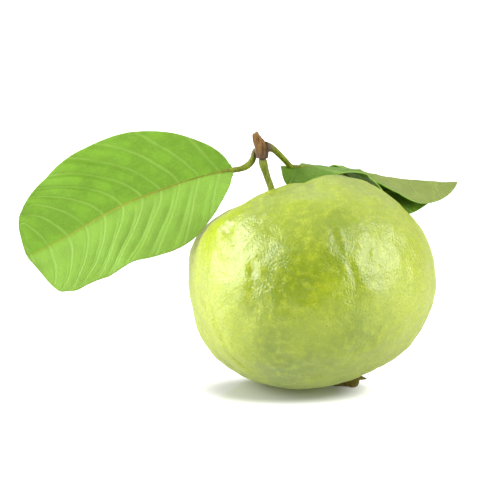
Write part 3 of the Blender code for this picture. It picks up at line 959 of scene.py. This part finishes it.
def blade_point(leaf, stations, points, along, across, height):
    """Place of a point of the blade, in mm: along the rib, across it, and over the blade."""
    if leaf.fold:
        along, across, height = fold_over(leaf.fold, along, across, height)
    rib_point, side, normal = leaf_frame(leaf, stations, points, along)
    curls = leaf.far_curls if across > 0 else leaf.near_curls
    if across < 0:
        side = -side
    away = abs(across)
    on_rib = within(along, 0, stations[-1])
    start_angle = math.radians(spline(stations, leaf.creases, on_rib))
    bend = math.radians(spline(stations, curls, on_rib)) / CURL_UNIT + FLAT_CURL
    end_angle = start_angle - bend * away
    out = (math.sin(start_angle) - math.sin(end_angle)) / bend
    rise = (math.cos(end_angle) - math.cos(start_angle)) / bend
    facing = normal * math.cos(end_angle) - side * math.sin(end_angle)
    return rib_point + side * out + normal * rise + facing * height


def blade_height(leaf, row, column, share):
    """Relief of the blade in mm: hollow side veins, swells between them, and a waved margin."""
    from_vein = abs(row * leaf.veins - round(row * leaf.veins))
    fade = math.sin(math.pi * row)
    inner = math.sin(math.pi * min(1.0, abs(column) * 0.93)) * spline(*QUILTING, row)
    swell = leaf.relief * inner * (1 - 2 * math.cos(math.pi * from_vein) ** 4)
    groove = -GROOVE_DEPTH * inner * math.exp(-(from_vein / GROOVE_WIDTH) ** 2)
    wave = leaf.wave_height * column * column * math.sin(2 * math.pi * leaf.waves * share)
    return fade * (swell + groove + wave)


def kept_off(surface, place, gap):
    """The place, moved out to a gap from the surface where it is nearer or inside."""
    nearest, normal, _, _ = surface.find_nearest(place)
    if (place - nearest).dot(normal) < gap:
        return nearest + normal * gap
    return place


def blade_surface(leaf):
    """A function that lays a point of the blade by its column and row, for curved_grid."""
    skin = surface_of(bpy.data.objects["guava_fruit"].data)
    points = [Vector(point) for point in leaf.rib]
    stations = distances(points)
    length = stations[-1]

    def place(column, row):
        widths = leaf.far_width if column > 0 else leaf.near_width
        fan = within(1 - row / leaf.base.rows, 0, 1)
        row = within((row - leaf.base.rows) / (1 - leaf.base.rows), 0, LAST_ROW)
        margin = row + leaf.vein_lean * math.sin(math.pi * row ** VEIN_BOW_POWER)
        share = row + (margin - row) * abs(column) ** VEIN_SWEEP_POWER
        share = leaf.base.share + (1 - leaf.base.share) * share
        width = spline(stations, widths, share * length) * math.sin(math.pi * share) ** OUTLINE_POWER
        turn = fan * math.pi / 2
        back = leaf.base.back * math.sin(turn) ** BASE_SQUARENESS
        across = column * width * max(0.0, math.cos(turn)) ** BASE_SQUARENESS
        height = blade_height(leaf, row, column, share)
        point = blade_point(leaf, stations, points, share * length - back * abs(column), across, height)
        return kept_off(skin, point * MM, BLADE_GAP)

    return place


def make_rib(name, leaf):
    """The petiole and the rib that it runs on into, under the blade, as a tapered round rod."""
    points = [Vector(point) for point in leaf.rib]
    stations = distances(points)
    petiole = [Vector(point) for point in leaf.petiole]
    base_radius = leaf.petiole_radii[-1]
    run = [(point, radius) for point, radius in zip(petiole, leaf.petiole_radii)]
    for number in range(RIB_PARTS + 1):
        along = stations[-1] * RIB_REACH * number / RIB_PARTS
        radius = base_radius * (1 - RIB_TAPER * (number / RIB_PARTS) ** 0.6)
        below = -0.55 * radius * within(number / 3, 0, 1)
        run.append((blade_point(leaf, stations, points, along, 0.0, below), radius))
    centres = [point for point, _ in run]
    reached = distances(centres)
    radii = [radius for _, radius in run]
    first = square_to((centres[1] - centres[0]).normalized(), UP)

    def place(across, along):
        at = along * reached[-1]
        centre = spline(reached, centres, at)
        onward = (spline(reached, centres, at + 0.3) - spline(reached, centres, at - 0.3)).normalized()
        side = square_to(onward, first)
        other = onward.cross(side)
        angle = math.pi * across
        radius = spline(reached, radii, at)
        radius += 0.06 * noise.noise(Vector((3 * math.cos(angle), 3 * math.sin(angle), at * 0.25)))
        return (centre + (side * math.cos(angle) + other * math.sin(angle)) * radius) * MM

    rod = curved_grid(name, *RIB_GRID, place)
    tidy_mesh(rod)
    return rod


def face_up(blade):
    """Turns an open blade over where its faces look down, so that its upper side comes first."""
    if sum(face.normal.z * face.area for face in blade.data.polygons) > 0:
        return
    pick(blade)
    bpy.ops.object.mode_set(mode="EDIT")
    bpy.ops.mesh.select_all(action="SELECT")
    bpy.ops.mesh.flip_normals()
    bpy.ops.object.mode_set(mode="OBJECT")


def make_leaf(name, node, leaf, thickness, finishes):
    """A leaf: a curved grid given its thickness, joined with its petiole and rib.

    Its finishes are the upper side's, the underside's and the petiole's.
    """
    blade = curved_grid(name, *leaf.grid, blade_surface(leaf))
    merge_doubles(blade)
    face_up(blade)
    for finish in finishes:
        blade.data.materials.append(finish)
    apply_modifier(
        blade, "SOLIDIFY", thickness=thickness, offset=0.0, material_offset=1, material_offset_rim=0
    )
    rod = make_rib(name + "_rib", leaf)
    rod.data.materials.append(finishes[-1])
    pick(blade, rod)
    bpy.ops.object.join()
    bpy.ops.object.shade_smooth()
    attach(blade, BODY)
    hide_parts(node)


# Stage

def aimed_light(name, place, width, height, power):
    """A rectangular soft light that looks at the middle of the fruit."""
    deselect_all()
    turn = (place - LIGHT_TARGET).to_track_quat("Z", "Y").to_euler()
    bpy.ops.object.light_add(type="AREA", location=place, rotation=turn)
    light = bpy.context.object
    light.name = name
    light.data.shape = "RECTANGLE"
    light.data.size = width
    light.data.size_y = height
    light.data.energy = power


def floor_finish(settings):
    """Glossy white: it shows white, but for a soft patch by the fruit that mirrors and shades."""
    finish = Finish("white floor")
    place = finish.node("TexCoord", {}, "Object")
    spot = finish.node("Mapping", {"Vector": place, "Location": PATCH_SHIFT, "Scale": PATCH_STRETCH})
    from_patch = finish.node("VectorMath", {0: spot}, "Value", operation="LENGTH")
    patch = finish.ramp(from_patch, PATCH_DARK_WITHIN, PATCH_END)
    seen = finish.node("LightPath", {}, "Is Camera Ray")
    shown = finish.sum("MULTIPLY", patch, 1.05)
    glow = finish.node("Mix", {0: seen, 2: settings.floor, 3: shown}, 0)
    return finish.set(
        Base_Color=(0.58, 0.58, 0.58),
        Roughness=0.12,
        Emission_Color=(1, 1, 1),
        Emission_Strength=glow,
    )


def white_surroundings(settings):
    """A world that shows white, and lights the fruit most from above."""
    world = bpy.data.worlds.new("white surroundings")
    world.use_nodes = True
    tree = world.node_tree
    towards_light = tree.nodes.new("ShaderNodeVectorMath")
    towards_light.operation = "DOT_PRODUCT"
    tree.links.new(tree.nodes.new("ShaderNodeTexCoord").outputs["Generated"], towards_light.inputs[0])
    towards_light.inputs[1].default_value = BRIGHT_SKY
    strength = tree.nodes.new("ShaderNodeMapRange")
    strength.interpolation_type = "SMOOTHSTEP"
    strength.inputs["From Min"].default_value = SKY_DARK_FROM
    strength.inputs["From Max"].default_value = SKY_BRIGHT_FROM
    strength.inputs["To Min"].default_value = settings.front
    strength.inputs["To Max"].default_value = settings.top
    tree.links.new(towards_light.outputs["Value"], strength.inputs["Value"])
    shown = tree.nodes.new("ShaderNodeMix")
    tree.links.new(tree.nodes.new("ShaderNodeLightPath").outputs["Is Camera Ray"], shown.inputs[0])
    tree.links.new(strength.outputs[0], shown.inputs[2])
    shown.inputs[3].default_value = 1.0
    background = tree.nodes["Background"]
    background.inputs["Color"].default_value = (1, 1, 1, 1)
    tree.links.new(shown.outputs[0], background.inputs["Strength"])
    bpy.context.scene.world = world


def make_stage(settings):
    """White floor, white surroundings, two large side lights, and the camera."""
    deselect_all()
    bpy.ops.mesh.primitive_plane_add(size=8)
    floor = named_primitive("floor")
    floor.data.materials.append(floor_finish(settings))
    white_surroundings(settings)
    aimed_light("left light", LEFT_LIGHT_PLACE, *LEFT_LIGHT_SIZE, settings.left_power)
    aimed_light("right light", RIGHT_LIGHT_PLACE, *RIGHT_LIGHT_SIZE, settings.right_power)
    deselect_all()
    turn = (math.radians(90 - CAMERA_DOWN_DEG), 0, 0)
    bpy.ops.object.camera_add(location=CAMERA_PLACE, rotation=turn)
    camera = bpy.context.object
    camera.name = "photo camera"
    camera.data.lens = CAMERA_LENS
    camera.data.clip_start = 0.01
    camera.data.clip_end = 20
    bpy.context.scene.camera = camera
    bpy.context.scene.view_settings.view_transform = "Standard"


# Operators and panel

class GUAVA_OT_fruit(bpy.types.Operator):
    """Model the lumpy, waxy fruit on its solid"""

    bl_idname = "guava.fruit"
    bl_label = "Fruit"

    def execute(self, context):
        make_fruit(context.scene.guava_fruit)
        return {"FINISHED"}


class GUAVA_OT_calyx(bpy.types.Operator):
    """Model the crown of dried sepals under the fruit"""

    bl_idname = "guava.calyx"
    bl_label = "Calyx"

    def execute(self, context):
        make_calyx(context.scene.guava_fruit)
        return {"FINISHED"}


class GUAVA_OT_stalk(bpy.types.Operator):
    """Model the green stalk of the fruit"""

    bl_idname = "guava.stalk"
    bl_label = "Stalk"

    def execute(self, context):
        make_stalk(context.scene.guava_wood)
        return {"FINISHED"}


class GUAVA_OT_twig(bpy.types.Operator):
    """Model the torn woody twig"""

    bl_idname = "guava.twig"
    bl_label = "Twig"

    def execute(self, context):
        make_twig(context.scene.guava_wood)
        return {"FINISHED"}


class GUAVA_OT_leaves(bpy.types.Operator):
    """Model the open leaf on the left and the folded leaf on the right"""

    bl_idname = "guava.leaves"
    bl_label = "Leaves"

    def execute(self, context):
        colours = context.scene.guava_leaves
        petiole = stalk_finish("petiole", context.scene.guava_wood.stalk, 0.5)
        # The open leaf's near half is painted paler, painted light.
        left_finishes = (
            blade_finish("open leaf, upper side", colours, colours.fresh, LEFT_LEAF, 0.35),
            underside_finish("open leaf, underside", colours, LEFT_LEAF, 0.0),
            petiole,
        )
        # The folded leaf takes the darkened green on its upper side and at its underside's base: painted
        # shade.
        right_finishes = (
            blade_finish("folded leaf, upper side", colours, colours.dark, RIGHT_LEAF, 0.0),
            underside_finish("folded leaf, underside", colours, RIGHT_LEAF, 0.85),
            petiole,
        )
        thickness = colours.thickness
        make_leaf("left_leaf", "leaf_left", LEFT_LEAF, thickness, left_finishes)
        make_leaf("right_leaf", "leaf_right", RIGHT_LEAF, thickness, right_finishes)
        return {"FINISHED"}


class GUAVA_OT_stage(bpy.types.Operator):
    """Set the floor, the lights and the camera"""

    bl_idname = "guava.stage"
    bl_label = "Stage"

    def execute(self, context):
        make_stage(context.scene.guava_stage)
        return {"FINISHED"}


class GUAVA_PT_panel(bpy.types.Panel):
    """Lists the pieces and their settings"""

    bl_idname = "GUAVA_PT_panel"
    bl_label = "Guava"
    bl_space_type = "VIEW_3D"
    bl_region_type = "UI"
    bl_category = "Guava"

    def draw(self, context):
        for settings, operators in PANEL_ROWS:
            box = self.layout.box()
            group = getattr(context.scene, settings)
            for key in group.__annotations__:
                box.prop(group, key)
            for operator in operators:
                box.operator(operator)


PANEL_ROWS = [
    ("guava_fruit", ("guava.fruit", "guava.calyx")),
    ("guava_wood", ("guava.stalk", "guava.twig")),
    ("guava_leaves", ("guava.leaves",)),
    ("guava_stage", ("guava.stage",)),
]
SETTINGS = {
    "guava_fruit": FruitSettings,
    "guava_wood": WoodSettings,
    "guava_leaves": LeafSettings,
    "guava_stage": StageSettings,
}
CLASSES = (
    FruitSettings, WoodSettings, LeafSettings, StageSettings,
    GUAVA_OT_fruit, GUAVA_OT_calyx, GUAVA_OT_stalk, GUAVA_OT_twig, GUAVA_OT_leaves, GUAVA_OT_stage,
    GUAVA_PT_panel,
)


def register():
    for made in CLASSES:
        bpy.utils.register_class(made)
    for name, group in SETTINGS.items():
        setattr(bpy.types.Scene, name, PointerProperty(type=group))


def unregister():
    for name in SETTINGS:
        delattr(bpy.types.Scene, name)
    for made in reversed(CLASSES):
        bpy.utils.unregister_class(made)


def main():
    """Makes every piece in order."""
    register()
    bpy.ops.guava.fruit()
    bpy.ops.guava.calyx()
    bpy.ops.guava.stalk()
    bpy.ops.guava.twig()
    bpy.ops.guava.leaves()
    bpy.ops.guava.stage()


if __name__ == "__main__":
    main()
